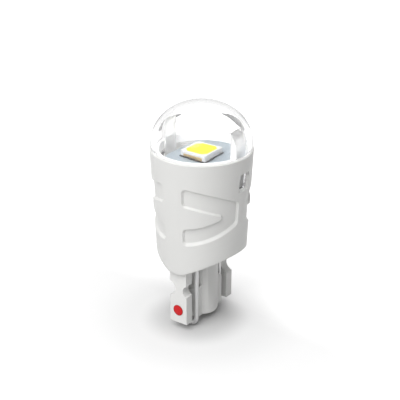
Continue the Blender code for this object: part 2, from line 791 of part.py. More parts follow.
def pin_places():
    """The feed pins stand one on each side of the driver board."""
    y = DRIVER_THICKNESS / 2 + SEAT_GAP + PIN_DIAMETER / 2
    return ((-PIN_X, y), (PIN_X, -y))


def round_rod(name, x, y, radius, low, high):
    rod = revolve(name, [(0, low), (radius, low), (radius, high), (0, high)], HOLE_SEGMENTS)
    rod.data.transform(Matrix.Translation((x, y, 0)))
    return rod


def build_thermal_pad(mat):
    outline = disc_outline(PAD_DIAMETER / 2, BOARD_FLAT_Y - PAD_FLAT_STEP)
    pad = prism("thermal_pad", outline, "Z", PAD_LOW_Z, PAD_TOP_Z)
    for x, y in pin_places():
        cut(pad, round_rod("pin_tool", x, y, PIN_DIAMETER / 2 + PIN_HOLE_CLEARANCE, SINK_TOP_Z, BOARD_LOW_Z))
    return finish(pad, mat)


def build_heat_sink(mat):
    cup_inner = SINK_CUP_RADIUS - SINK_CUP_WALL
    cup_low = DRIVER_LOW_Z + WIRE_OVERLAP_ON_BOARD + SINK_CUP_ABOVE_WIRES
    cup_top = (SINK_LOW_Z + SINK_TOP_Z) / 2
    flange = disc_outline(POCKET_RADIUS - SINK_FLANGE_CLEARANCE, LEG_INNER_Y - SINK_FLAT_CLEARANCE)
    sink = prism("heat_sink", flange, "Z", SINK_LOW_Z, SINK_TOP_Z)
    cup = revolve("cup", [
        (cup_inner, cup_low),
        (SINK_CUP_RADIUS, cup_low),
        (SINK_CUP_RADIUS, cup_top),
        (cup_inner, cup_top),
    ], ROUND_SEGMENTS)
    join(sink, cup)
    for x, y in pin_places():
        radius = PIN_DIAMETER / 2 + PIN_HOLE_CLEARANCE
        cut(sink, round_rod("pin_tool", x, y, radius, SINK_LOW_Z - CUT_MARGIN, PAD_LOW_Z))
    return finish(sink, mat)


# LED

def build_led(frame_mat, base_mat, phosphor_mat, contact_mat):
    base_x = LED_X / 2 + LED_BASE_MARGIN_X
    base_y = LED_Y / 2 + LED_BASE_MARGIN_Y
    base_outline = rounded_rectangle(base_x, base_y, LED_CORNER_ROUND)
    base = prism("led_base", base_outline, "Z", LED_BASE_LOW_Z, LED_BASE_LOW_Z + LED_BASE_THICKNESS)
    finish(base, base_mat)

    frame = prism("led_frame", rounded_rectangle(LED_X / 2, LED_Y / 2, LED_CORNER_ROUND),
                  "Z", LED_LOW_Z, LED_TOP_Z)
    pocket_low = LED_TOP_Z - PHOSPHOR_DEPTH - SEAT_GAP
    half_x = LED_X / 2 - LED_RIM_X
    half_y = LED_Y / 2 - LED_RIM_Y
    pocket_outline = clipped_rectangle(half_x + FILM_GAP, half_y + FILM_GAP, PHOSPHOR_CLIP)
    pocket = prism("pocket_tool", pocket_outline, "Z", pocket_low, LED_TOP_Z + CUT_MARGIN)
    cut(frame, pocket)
    for side, name in ((-1, "led_contact_left"), (1, "led_contact_right")):
        low_x, high_x = sorted((side * (LED_X / 2 - CONTACT_DEPTH - FILM_GAP), side * LED_X))
        notch = box("contact_tool", (low_x, -CONTACT_Y / 2 - FILM_GAP, LED_LOW_Z - CUT_MARGIN),
                    (high_x, CONTACT_Y / 2 + FILM_GAP, LED_LOW_Z + CONTACT_HEIGHT + FILM_GAP))
        cut(frame, notch)
        low_x, high_x = sorted((side * (LED_X / 2 - CONTACT_DEPTH), side * (LED_X / 2 + CONTACT_PROUD)))
        contact_top = LED_LOW_Z + CONTACT_HEIGHT
        contact = box(name, (low_x, -CONTACT_Y / 2, LED_LOW_Z), (high_x, CONTACT_Y / 2, contact_top))
        finish(contact, contact_mat)
    finish(frame, frame_mat)

    phosphor_outline = clipped_rectangle(half_x, half_y, PHOSPHOR_CLIP)
    phosphor = prism("led_phosphor", phosphor_outline, "Z", LED_TOP_Z - PHOSPHOR_DEPTH, LED_TOP_Z)
    finish(phosphor, phosphor_mat)


# Driver board and its components

def build_driver_board(mat):
    low = (-DRIVER_HALF_WIDTH, -DRIVER_THICKNESS / 2, DRIVER_LOW_Z)
    high = (DRIVER_HALF_WIDTH, DRIVER_THICKNESS / 2, DRIVER_TOP_Z)
    return finish(box("driver_board", low, high), mat)


def build_feed_pins(mat):
    for name, (x, y) in zip(("feed_pin_left", "feed_pin_right"), pin_places()):
        low = DRIVER_TOP_Z - PIN_OVERLAP_ON_BOARD
        finish(round_rod(name, x, y, PIN_DIAMETER / 2, low, BOARD_LOW_Z - SEAT_GAP), mat)


def component(name, face, x, below_top, width, length, thickness, mat):
    """A block soldered to one face of the driver board, placed by its middle."""
    near = DRIVER_THICKNESS / 2 + SEAT_GAP
    low_y, high_y = sorted((face * near, face * (near + thickness)))
    z = DRIVER_TOP_Z - below_top
    block = box(name, (x - width / 2, low_y, z - length / 2), (x + width / 2, high_y, z + length / 2))
    finish(bevelled(block, COMPONENT_EDGE, 1), mat)


def build_components(package_mat, capacitor_mat, resistor_mat):
    for name, face in (("bridge_rectifier", 1), ("driver_chip", -1)):
        component(name, face, face * PACKAGE_X, PACKAGE_BELOW_TOP,
                  PACKAGE_WIDTH, PACKAGE_LENGTH, PACKAGE_THICKNESS, package_mat)
    for name, face in (("capacitor_left", 1), ("capacitor_right", -1)):
        component(name, face, -face * CAPACITOR_X, CAPACITOR_BELOW_TOP,
                  CAPACITOR_WIDTH, CAPACITOR_LENGTH, CAPACITOR_THICKNESS, capacitor_mat)
    for name, face, row in (
        ("resistor_1", -1, 0), ("resistor_2", -1, 1), ("resistor_3", 1, 0), ("resistor_4", 1, 1),
    ):
        component(name, face, face * RESISTOR_X, RESISTOR_BELOW_TOP + row * RESISTOR_PITCH,
                  RESISTOR_WIDTH, RESISTOR_LENGTH, RESISTOR_THICKNESS, resistor_mat)


# Red dot

def build_dot(mat):
    near = BLADE_OUTER_X + FILM_GAP
    radius = DOT_DIAMETER / 2
    outline = []
    for i in range(ROUND_SEGMENTS):
        angle = 2 * math.pi * i / ROUND_SEGMENTS
        outline.append((radius * math.cos(angle), FOOT_Z + DOT_HEIGHT + radius * math.sin(angle)))
    return finish(prism("red_dot", outline, "X", -near - DOT_THICKNESS, -near), mat)


def main():
    clear_scene()
    body_plastic = material("housing_plastic", (0.78, 0.78, 0.76), 0.45)
    base_plastic = material("base_plastic", (0.76, 0.76, 0.74), 0.5)
    clear_plastic = material("clear_plastic", (0.96, 0.97, 0.97), 0.03, transmission=1.0)
    tinned_wire = material("tinned_wire", (0.62, 0.62, 0.63), 0.3, 1.0)
    board_mask = material("board_mask", (0.52, 0.6, 0.68), 0.4)
    aluminium = material("aluminium", (0.7, 0.7, 0.71), 0.35, 1.0)
    thermal = material("thermal_pad", (0.45, 0.5, 0.58), 0.8)
    white_frame = material("led_white", (0.86, 0.86, 0.86), 0.35)
    dark_base = material("led_dark", (0.03, 0.03, 0.03), 0.6)
    phosphor = material("phosphor", (0.95, 0.86, 0.05), 0.5)
    gold = material("gold_contact", (0.75, 0.48, 0.15), 0.3, 1.0)
    driver_green = material("driver_mask", (0.05, 0.25, 0.12), 0.45)
    black = material("component_black", (0.03, 0.03, 0.03), 0.5)
    ceramic = material("component_grey", (0.12, 0.12, 0.13), 0.4)
    tan = material("component_tan", (0.45, 0.33, 0.2), 0.45)
    red = material("red_paint", (0.8, 0.02, 0.02), 0.35)

    build_housing(body_plastic)
    build_wedge_base(base_plastic)
    build_contact_wires(tinned_wire)
    build_dome(clear_plastic)
    build_board(board_mask)
    build_thermal_pad(thermal)
    build_heat_sink(aluminium)
    build_led(white_frame, dark_base, phosphor, gold)
    build_driver_board(driver_green)
    build_feed_pins(tinned_wire)
    build_components(black, tan, ceramic)
    build_dot(red)


main()
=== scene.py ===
"""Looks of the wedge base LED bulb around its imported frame.

Fine meshes for the pieces that show, procedural materials for every piece, a pale studio and the camera.
Metres, +Z up. The bulb stands on the axis X = Y = 0, with its blades along X and its snap windows along Y.
"""

import math

import bmesh
import bpy
import numpy as np
from mathutils import Matrix, Vector


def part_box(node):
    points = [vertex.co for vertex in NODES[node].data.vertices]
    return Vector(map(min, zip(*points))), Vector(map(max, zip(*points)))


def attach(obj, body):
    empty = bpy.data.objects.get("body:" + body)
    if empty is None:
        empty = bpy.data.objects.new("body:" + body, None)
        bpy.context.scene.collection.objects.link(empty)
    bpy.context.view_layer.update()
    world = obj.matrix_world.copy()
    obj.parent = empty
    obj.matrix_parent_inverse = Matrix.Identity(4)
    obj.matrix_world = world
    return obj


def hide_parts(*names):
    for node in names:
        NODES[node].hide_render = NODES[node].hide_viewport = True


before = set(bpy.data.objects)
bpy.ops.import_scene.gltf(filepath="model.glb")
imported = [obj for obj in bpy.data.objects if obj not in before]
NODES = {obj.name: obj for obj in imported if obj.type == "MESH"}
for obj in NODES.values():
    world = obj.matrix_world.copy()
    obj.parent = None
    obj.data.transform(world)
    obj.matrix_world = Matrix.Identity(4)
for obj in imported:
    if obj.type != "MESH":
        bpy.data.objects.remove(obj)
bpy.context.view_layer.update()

MM = 0.001

# Sizes read from the frame
FOOT_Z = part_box("wedge_base")[0].z
RIM_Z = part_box("housing")[1].z
BOARD_TOP_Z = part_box("led_board")[1].z
DOME_TOP_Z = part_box("dome_lens")[1].z
LEG_FOOT_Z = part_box("dome_lens")[0].z

# Fits, and how far a cutting shape reaches past what it cuts
SEAT_GAP = 0.08 * MM
SLIDE_GAP = 0.15 * MM
CUT_MARGIN = 1.0 * MM
CUT_REACH = 30 * MM

# Housing
RIM_RADIUS = 10.05 * MM
DRAFT = math.radians(2.87)
HEM_HEIGHT = 11.4 * MM
HEM_FLAT_Y = 1.6 * MM
HEM_SLOPE = 0.5
HEM_ROUND = 0.08 * MM
RIM_ROUND = 0.22 * MM
POCKET_LIP_ROUND = 0.12 * MM
WALL = 1.3 * MM
SKIRT_WALL = 0.58 * MM
SKIRT_STEP_ABOVE_HEM = 0.43 * MM
POCKET_RADIUS = RIM_RADIUS - 0.8 * MM
POCKET_DEPTH = 4.0 * MM
SHOULDER_Z = RIM_Z - POCKET_DEPTH

# Sunk chevrons. The lip's round is a share of the wall's width.
CHEVRON_DEPTH = 0.45 * MM
CHEVRON_WALL_WIDTH = 0.3 * MM
CHEVRON_SILL_WIDTH = 0.58 * MM
CHEVRON_LIP_ROUND = 0.08
CHEVRON_Z = RIM_Z - 11.0 * MM
CHEVRON_HALF_OPENING = 1.86 * MM
CHEVRON_SLOPE = 0.455
CHEVRON_BAND_HALF_WIDTH = 2.1 * MM
CHEVRON_SIDE_X = 1.1 * MM
CHEVRON_TOP_CORNER_ROUND = 0.4 * MM
CHEVRON_LOW_CORNER_ROUND = 1.2 * MM
CHEVRON_END_ROUND = 0.95 * MM
CHEVRON_TANGENT_STEP = 0.18 * MM
ISLAND_Z = CHEVRON_Z - 0.12 * MM
ISLAND_HALF_OPENING = 1.91 * MM
ISLAND_TIP_ROUND = 0.42 * MM

# Snap windows and the dome's legs
WINDOW_WIDTH = 3.2 * MM
WINDOW_TOP_Z = RIM_Z - 3.2 * MM
WINDOW_TALL = 3.55 * MM
WINDOW_SHIFT = 0.25 * MM
LEG_HALF_WIDTH = 1.7 * MM
LEG_OUTER_Y = POCKET_RADIUS - 0.23 * MM
LEG_INNER_Y = LEG_OUTER_Y - 1.42 * MM
LEG_STEP = 0.35 * MM
LEG_WITHIN_DOME = 0.3 * MM
HOOK_HALF_WIDTH = 1.15 * MM
HOOK_REACH = 0.42 * MM
HOOK_TIP = 0.55 * MM
HOOK_RAMP = 2.1 * MM
HOOK_ROOT_DEPTH = 0.4 * MM
HOOK_HEEL = 0.2 * MM
HOOK_TOP_Z = WINDOW_TOP_Z - SLIDE_GAP
HOOK_LOW_Z = HOOK_TOP_Z - HOOK_TIP - HOOK_RAMP

# Dome
DOME_FOOT_Z = RIM_Z + SEAT_GAP
DOME_SPRING_Z = DOME_FOOT_Z + 1.05 * MM
DOME_RADIUS = RIM_RADIUS - 0.175 * MM
DOME_CROWN = DOME_TOP_Z - DOME_SPRING_Z
DOME_WALL = 0.9 * MM
DOME_FOOT_BEVEL = 0.1 * MM
SEAT_RING_OUTER = POCKET_RADIUS - SLIDE_GAP
SEAT_RING_INNER = SEAT_RING_OUTER - 0.85 * MM
SEAT_RING_LOW_Z = BOARD_TOP_Z + SEAT_GAP

# Wires
WIRE_END_BELOW_SKIRT_TOP = 0.5 * MM

# Rounds of the board, the LED and the dot
BOARD_ROUND = 0.06 * MM
LED_BODY_ROUND = 0.05 * MM
LED_FIELD_ROUND = 0.03 * MM
FILM_ROUND = 0.02 * MM

# Facets
HOUSING_COLUMNS = 510
HEM_FIT_STEPS = 4
ROWS_BELOW_CHEVRON = 8
CHEVRON_ROWS = 138
CHEVRON_ROWS_MARGIN = 0.2 * MM
ROWS_ABOVE_CHEVRON = 6
CHEVRON_EDGE_STEPS = 24
ROUND_STEPS = 5
DOME_COLUMNS = 240
DOME_ROWS = 40
WIRE_BEND_STEPS = 40
WIRE_SIDE_STEPS = 6

# Joining of the CAD's facets
WELD_DISTANCE = 0.002 * MM
FLAT_ANGLE = math.radians(0.6)

# Colours
HOUSING_GREY = (0.75, 0.75, 0.735)
BASE_GREY = (0.78, 0.78, 0.765)
CLEAR = (1.0, 1.0, 1.0)
# Painted shade for the clear dome's edge
CLEAR_EDGE_SHADE = (0.04, 0.04, 0.04)
TIN_DULL = (0.57, 0.57, 0.57)
TIN_BRIGHT = (0.66, 0.66, 0.66)
BOARD_BLUE = (0.33, 0.385, 0.43)
# Painted shade under the LED
LED_GAP_SHADE = (0.02, 0.02, 0.022)
LED_WHITE = (0.72, 0.72, 0.73)
PHOSPHOR_DEEP = (0.90, 0.87, 0.02)
PHOSPHOR_BRIGHT = (0.95, 0.94, 0.06)
GOLD = (0.90, 0.63, 0.30)
DOT_RED = (0.62, 0.012, 0.015)
DOT_EDGE_RED = (0.33, 0.008, 0.010)

# Clear plastic. The seat ring and the legs are milky, with a margin past their faces. The dome's outer skin
# stays clear, and only it takes the painted dark edge.
CLEAR_ROUGHNESS = 0.02
MILKY_ROUGHNESS = 0.4
LEG_MILK = 0.45
RING_MILK = 0.7
MILK_MARGIN = 0.02 * MM
CLEAR_SKIN = 0.27 * MM

# Studio
WHITE = (1.0, 1.0, 1.0, 1.0)
SKY_LIGHT = 0.06
FLOOR_COLOUR = 0.66
FLOOR_SIZE = 3.0

# Painted light on the floor: each step starts and ends at these distances from the centre, and adds this much
GLOW_CENTRE = (-2 * MM, 0.0, 0.0)
GLOW_STEPS = (
    (5.5 * MM, 12 * MM, 0.23),
    (12 * MM, 25 * MM, 0.08),
    (25 * MM, 55 * MM, 0.17),
    (55 * MM, 300 * MM, 0.24),
)
# The same along X: painted light over the side that the key light leaves in shadow
SIDE_GLOW_STEPS = ((2 * MM, 15 * MM, 0.3),)

# Lights: place, diameter and watts. Both point at the target.
LIGHT_TARGET = (0.0, 0.0, 20 * MM)
OVERHEAD_LIGHT = ((-0.02, 0.02, 0.45), 0.8, 1.62)
LEFT_LIGHT = ((-0.32, -0.028, 0.35), 0.5, 2.05)

# Glowing grey cards behind the dome, which paint grey reflections into it. The corners are those of the right
# card, across and up from the middle of the camera's view. The left card is its mirror image, this much
# closer to the middle and lower.
REFLECTION_CARD_GREY = 0.13
CARD_DISTANCE = 205 * MM
CARD_OUTLINE = (
    (4.9 * MM, 19.4 * MM), (8.7 * MM, 20.0 * MM), (12.0 * MM, 19.7 * MM), (13.6 * MM, 16.6 * MM),
    (12.2 * MM, 15.1 * MM), (9.2 * MM, 16.4 * MM), (7.3 * MM, 18.0 * MM),
)
LEFT_CARD_CLOSER = 0.7 * MM
LEFT_CARD_LOWER = 0.3 * MM

# Camera, fitted to the photograph
CAMERA_DISTANCE = 180.883 * MM
CAMERA_HEIGHT = FOOT_Z + 104.6045 * MM
CAMERA_AZIMUTH = math.radians(-54.107)
CAMERA_PITCH = math.radians(24.035)
CAMERA_TURN = math.radians(0.1025)
CAMERA_LENS = 90.89
CAMERA_SENSOR = 36.0
CAMERA_CLIP_START = 0.01
CAMERA_CLIP_END = 10.0


def housing_radius(z):
    return RIM_RADIUS - math.tan(DRAFT) * (RIM_Z - z)


def hem_z(y):
    """Height of the housing's lower edge, which rises away from the blades."""
    return FOOT_Z + HEM_HEIGHT + HEM_SLOPE * np.maximum(0.0, np.abs(y) - HEM_FLAT_Y)


SKIRT_TOP_Z = float(hem_z(housing_radius(FOOT_Z + HEM_HEIGHT))) + SKIRT_STEP_ABOVE_HEM


# Mesh helpers

def add_object(name, data):
    obj = bpy.data.objects.new(name, data)
    bpy.context.scene.collection.objects.link(obj)
    return obj


def object_from(bm, name):
    bmesh.ops.recalc_face_normals(bm, faces=bm.faces)
    mesh = bpy.data.meshes.new(name)
    bm.to_mesh(mesh)
    bm.free()
    return add_object(name, mesh)


def object_from_arrays(name, points, faces):
    mesh = bpy.data.meshes.new(name)
    mesh.from_pydata(points, [], faces)
    return add_object(name, mesh)


def smooth(obj, angle=30):
    obj.data.shade_smooth()
    obj.data.set_sharp_from_angle(angle=math.radians(angle))
    return obj


def evaluated_mesh(obj):
    graph = bpy.context.evaluated_depsgraph_get()
    return bpy.data.meshes.new_from_object(obj.evaluated_get(graph))


def apply_modifiers(obj):
    mesh = evaluated_mesh(obj)
    obj.modifiers.clear()
    obj.data = mesh


def weigh_normals(obj):
    """Keeps large flat faces flat beside their rounded edges."""
    modifier = obj.modifiers.new("weigh_normals", "WEIGHTED_NORMAL")
    modifier.keep_sharp = True
    apply_modifiers(obj)


def boolean(target, tool, operation):
    modifier = target.modifiers.new("boolean", "BOOLEAN")
    modifier.solver = "EXACT"
    modifier.operation = operation
    modifier.object = tool
    apply_modifiers(target)
    bpy.data.objects.remove(tool, do_unlink=True)
    return target


def prism(name, outline, axis, low, high):
    """Solid between two levels on the X or Z axis, with an outline drawn across that axis."""
    bm = bmesh.new()
    ends = []
    for level in (low, high):
        ring = []
        for a, b in outline:
            ring.append(bm.verts.new((level, a, b) if axis == "X" else (a, b, level)))
        ends.append(ring)
        bm.faces.new(ring)
    count = len(outline)
    for i in range(count):
        j = (i + 1) % count
        bm.faces.new((ends[0][i], ends[0][j], ends[1][j], ends[1][i]))
    return object_from(bm, name)


def box(name, low, high):
    outline = [(low[0], low[1]), (high[0], low[1]), (high[0], high[1]), (low[0], high[1])]
    return prism(name, outline, "Z", low[2], high[2])


def revolve(name, profile, segments):
    """Solid of revolution round Z. A point of radius 0 closes it on the axis."""
    bm = bmesh.new()
    rings = []
    for radius, z in profile:
        if radius == 0:
            rings.append([bm.verts.new((0, 0, z))])
            continue
        ring = []
        for i in range(segments):
            angle = 2 * math.pi * i / segments
            ring.append(bm.verts.new((radius * math.cos(angle), radius * math.sin(angle), z)))
        rings.append(ring)
    for low, high in zip(rings, rings[1:] + rings[:1]):
        if len(low) == 1 and len(high) == 1:
            continue
        for i in range(segments):
            j = (i + 1) % segments
            corners = [low[i % len(low)], low[j % len(low)], high[j % len(high)], high[i % len(high)]]
            bm.faces.new(list(dict.fromkeys(corners)))
    return object_from(bm, name)


def welded_copy(node, name):
    """A copy of a CAD node with its facets joined and its flat faces merged."""
    mesh = NODES[node].data.copy()
    bm = bmesh.new()
    bm.from_mesh(mesh)
    bmesh.ops.remove_doubles(bm, verts=bm.verts, dist=WELD_DISTANCE)
    bmesh.ops.dissolve_limit(bm, angle_limit=FLAT_ANGLE, verts=bm.verts, edges=bm.edges)
    bm.to_mesh(mesh)
    bm.free()
    return add_object(name, mesh)


def rounded_copy(node, name, width, segments=2, angle=60):
    """A welded copy of a CAD node, with its edges sharper than the angle rounded."""
    obj = welded_copy(node, name)
    bm = bmesh.new()
    bm.from_mesh(obj.data)
    edges = [edge for edge in bm.edges if edge.calc_face_angle(0.0) > math.radians(angle)]
    bmesh.ops.bevel(
        bm, geom=edges, offset=width, segments=segments, profile=0.5, affect="EDGES", clamp_overlap=True
    )
    bm.to_mesh(obj.data)
    bm.free()
    return smooth(obj)


def dress(obj, material, node):
    """Gives a new piece its material and its body, and hides the CAD node that it stands for."""
    obj.data.materials.clear()
    obj.data.materials.append(material)
    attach(obj, "root")
    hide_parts(node)


# Material helpers

class Nodes:
    """Adds nodes to a tree. An input is a number, a colour, a vector or the output of another node."""

    def __init__(self, owner):
        owner.use_nodes = True
        self.tree = owner.node_tree

    def node(self, kind, inputs=None, **settings):
        made = self.tree.nodes.new(kind)
        for key, value in settings.items():
            setattr(made, key, value)
        for key, value in (inputs or {}).items():
            if isinstance(value, bpy.types.NodeSocket):
                self.tree.links.new(value, made.inputs[key])
            else:
                made.inputs[key].default_value = value
        return made

    def calculate(self, operation, first, second=0.0):
        return self.node("ShaderNodeMath", {0: first, 1: second}, operation=operation).outputs["Value"]

    def vector(self, operation, first, second=(0, 0, 0)):
        return self.node("ShaderNodeVectorMath", {0: first, 1: second}, operation=operation).outputs

    def spread(self, value, low, high, start=0.3, end=0.7, shape="LINEAR"):
        """Turns the range from start to end into the range from low to high, and stops at its ends."""
        return self.node("ShaderNodeMapRange", {
            "Value": value, "From Min": start, "From Max": end, "To Min": low, "To Max": high,
        }, interpolation_type=shape).outputs["Result"]


class Look(Nodes):
    """A Principled material and the nodes that vary it over the object."""

    def __init__(self, name, colour, roughness, metallic=0.0, **sockets):
        self.material = bpy.data.materials.new(name)
        super().__init__(self.material)
        self.shader = self.tree.nodes["Principled BSDF"]
        self.shader.inputs["Base Color"].default_value = (*colour, 1.0)
        self.shader.inputs["Roughness"].default_value = roughness
        self.shader.inputs["Metallic"].default_value = metallic
        for socket, value in sockets.items():
            self.shader.inputs[socket.replace("_", " ")].default_value = value
        self.place = self.node("ShaderNodeTexCoord").outputs["Object"]

    def use(self, socket, value):
        self.tree.links.new(value, self.shader.inputs[socket])

    def noise(self, scale, detail=2.0, roughness=0.5, stretch=(1, 1, 1)):
        moved = self.node("ShaderNodeMapping", {"Vector": self.place, "Scale": stretch})
        return self.node("ShaderNodeTexNoise", {
            "Vector": moved.outputs["Vector"], "Scale": scale, "Detail": detail, "Roughness": roughness,
        }).outputs["Fac"]

    def vary_colour(self, share, first, second):
        mix = self.node("ShaderNodeMix", data_type="RGBA")
        self.tree.links.new(share, mix.inputs["Factor"])
        colours = [socket for socket in mix.inputs if socket.type == "RGBA"]
        colours[0].default_value = (*first, 1.0)
        colours[1].default_value = (*second, 1.0)
        self.use("Base Color", [socket for socket in mix.outputs if socket.type == "RGBA"][0])

    def mottle(self, noise, first, second):
        self.vary_colour(self.spread(noise, 0.0, 1.0), first, second)

    def vary_roughness(self, noise, low, high):
        self.use("Roughness", self.spread(noise, low, high))

    def bump(self, height, distance, strength, below=None):
        """Raises the surface by a pattern, on top of another bump where there is one."""
        inputs = {"Height": height, "Distance": distance, "Strength": strength}
        if below is not None:
            inputs["Normal"] = below
        normal = self.node("ShaderNodeBump", inputs).outputs["Normal"]
        self.use("Normal", normal)
        return normal


def scaled(colour, factor):
    return tuple(min(1.0, part * factor) for part in colour)


def moulded_plastic(name, colour, roughness):
    """Satin plastic with the fine grain and slight unevenness of a moulding."""
    look = Look(name, colour, roughness)
    look.mottle(look.noise(220.0, detail=3.0), scaled(colour, 0.985), colour)
    look.vary_roughness(look.noise(900.0), roughness - 0.05, roughness + 0.06)
    uneven = look.bump(look.noise(400.0), 0.01 * MM, 0.35)
    look.bump(look.noise(9000.0, detail=3.0, roughness=0.6), 0.0025 * MM, 0.5, below=uneven)
    return look.material


def clear_plastic(name):
    """Polished clear plastic with a painted dark edge, milky on the seat ring and a little on the snap legs.
    """
    look = Look(name, CLEAR, CLEAR_ROUGHNESS, Transmission_Weight=1.0, IOR=1.49)
    parts = look.node("ShaderNodeSeparateXYZ", {"Vector": look.place}).outputs
    below_foot = look.calculate("LESS_THAN", parts["Z"], DOME_FOOT_Z + MILK_MARGIN)
    past_inner_face = look.calculate(
        "GREATER_THAN", look.calculate("ABSOLUTE", parts["Y"]), LEG_INNER_Y - MILK_MARGIN
    )
    between_sides = look.calculate(
        "LESS_THAN", look.calculate("ABSOLUTE", parts["X"]), LEG_HALF_WIDTH + MILK_MARGIN
    )
    leg_column = look.calculate("MULTIPLY", past_inner_face, between_sides)

    flat = 1 / (DOME_RADIUS - CLEAR_SKIN)
    tall = 1 / (DOME_CROWN - CLEAR_SKIN)
    centred = look.vector("SUBTRACT", look.place, (0, 0, DOME_SPRING_Z))["Vector"]
    reach = look.vector("LENGTH", look.vector("MULTIPLY", centred, (flat, flat, tall))["Vector"])["Value"]
    within = look.calculate("LESS_THAN", reach, 1.0)

    leg = look.calculate("MULTIPLY", leg_column, within)
    ring = look.calculate("MULTIPLY", below_foot, look.calculate("SUBTRACT", 1.0, leg_column))
    milk = look.calculate(
        "ADD", look.calculate("MULTIPLY", leg, LEG_MILK), look.calculate("MULTIPLY", ring, RING_MILK)
    )
    look.use("Transmission Weight", look.calculate("SUBTRACT", 1.0, milk))
    look.use("Roughness", look.spread(milk, CLEAR_ROUGHNESS, MILKY_ROUGHNESS, start=0.0, end=1.0))

    # Painted shade: the outer skin turns dark where it is seen at a grazing angle, for the dark reflections
    # at its silhouette
    facing = look.node("ShaderNodeLayerWeight", {"Blend": 0.5}).outputs["Facing"]
    grazing = look.spread(facing, 0.0, 1.0, start=0.66, end=0.9)
    outline = look.calculate("MULTIPLY", grazing, look.calculate("SUBTRACT", 1.0, within))
    look.vary_colour(outline, CLEAR, CLEAR_EDGE_SHADE)
    look.bump(look.noise(260.0, detail=1.0), 0.002 * MM, 0.5)
    return look.material


def tinned_wire(name):
    """Dull drawn wire, streaked along its length."""
    look = Look(name, TIN_DULL, 0.5, metallic=0.75)
    streaks = look.noise(1500.0, detail=3.0, roughness=0.6, stretch=(1, 1, 0.06))
    look.mottle(streaks, TIN_DULL, TIN_BRIGHT)
    look.vary_roughness(look.noise(1200.0, stretch=(1, 1, 0.2)), 0.44, 0.6)
    look.bump(streaks, 0.006 * MM, 0.5)
    return look.material


def solder_mask(name, colour):
    look = Look(name, colour, 0.42)
    look.mottle(look.noise(700.0, detail=3.0), scaled(colour, 0.93), colour)
    look.vary_roughness(look.noise(2500.0), 0.34, 0.5)
    look.bump(look.noise(3000.0), 0.006 * MM, 0.5)
    return look.material


def phosphor(name):
    """Grainy yellow coating with hardly any gloss."""
    look = Look(name, PHOSPHOR_BRIGHT, 0.6, Specular_IOR_Level=0.15)
    look.mottle(look.noise(5000.0, detail=4.0, roughness=0.7), PHOSPHOR_DEEP, PHOSPHOR_BRIGHT)
    look.bump(look.noise(6000.0, detail=3.0, roughness=0.7), 0.008 * MM, 0.6)
    return look.material


def white_reflector(name):
    look = Look(name, LED_WHITE, 0.38)
    look.vary_roughness(look.noise(3000.0), 0.3, 0.46)
    look.bump(look.noise(5000.0), 0.004 * MM, 0.5)
    return look.material


def plated(name, colour, roughness):
    look = Look(name, colour, roughness, metallic=1.0)
    look.mottle(look.noise(2500.0, detail=3.0), colour, scaled(colour, 1.15))
    look.vary_roughness(look.noise(4000.0), roughness - 0.08, roughness + 0.1)
    look.bump(look.noise(5000.0), 0.004 * MM, 0.5)
    return look.material


def plain_matte(name, colour, roughness):
    look = Look(name, colour, roughness)
    look.vary_roughness(look.noise(3000.0), roughness - 0.08, roughness + 0.08)
    look.bump(look.noise(3000.0, detail=3.0), 0.008 * MM, 0.4)
    return look.material


def red_paint(name, centre, radius):
    """Printed paint that thins to a darker line at its edge."""
    look = Look(name, DOT_RED, 0.4, Specular_IOR_Level=0.25)
    away = look.vector("DISTANCE", look.place, centre)["Value"]
    look.vary_colour(look.spread(away, 0.0, 1.0, radius * 0.86, radius * 0.97), DOT_RED, DOT_EDGE_RED)
    look.bump(look.noise(4000.0), 0.004 * MM, 0.5)
    return look.material


# Housing

def arc_between(before, corner, after, radius, steps=8):
    """Points of the fillet that rounds a corner between two straight neighbours."""
    a = (Vector(before) - Vector(corner)).normalized()
    b = (Vector(after) - Vector(corner)).normalized()
    half = math.acos(max(-1.0, min(1.0, a.dot(b)))) / 2
    reach = radius / math.tan(half)
    centre = Vector(corner) + (a + b).normalized() * radius / math.sin(half)
    start = Vector(corner) + a * reach - centre
    end = Vector(corner) + b * reach - centre
    turn = start.angle_signed(end)
    points = []
    for i in range(steps + 1):
        point = centre + Matrix.Rotation(-turn * i / steps, 2) @ start
        points.append((point.x, point.y))
    return points


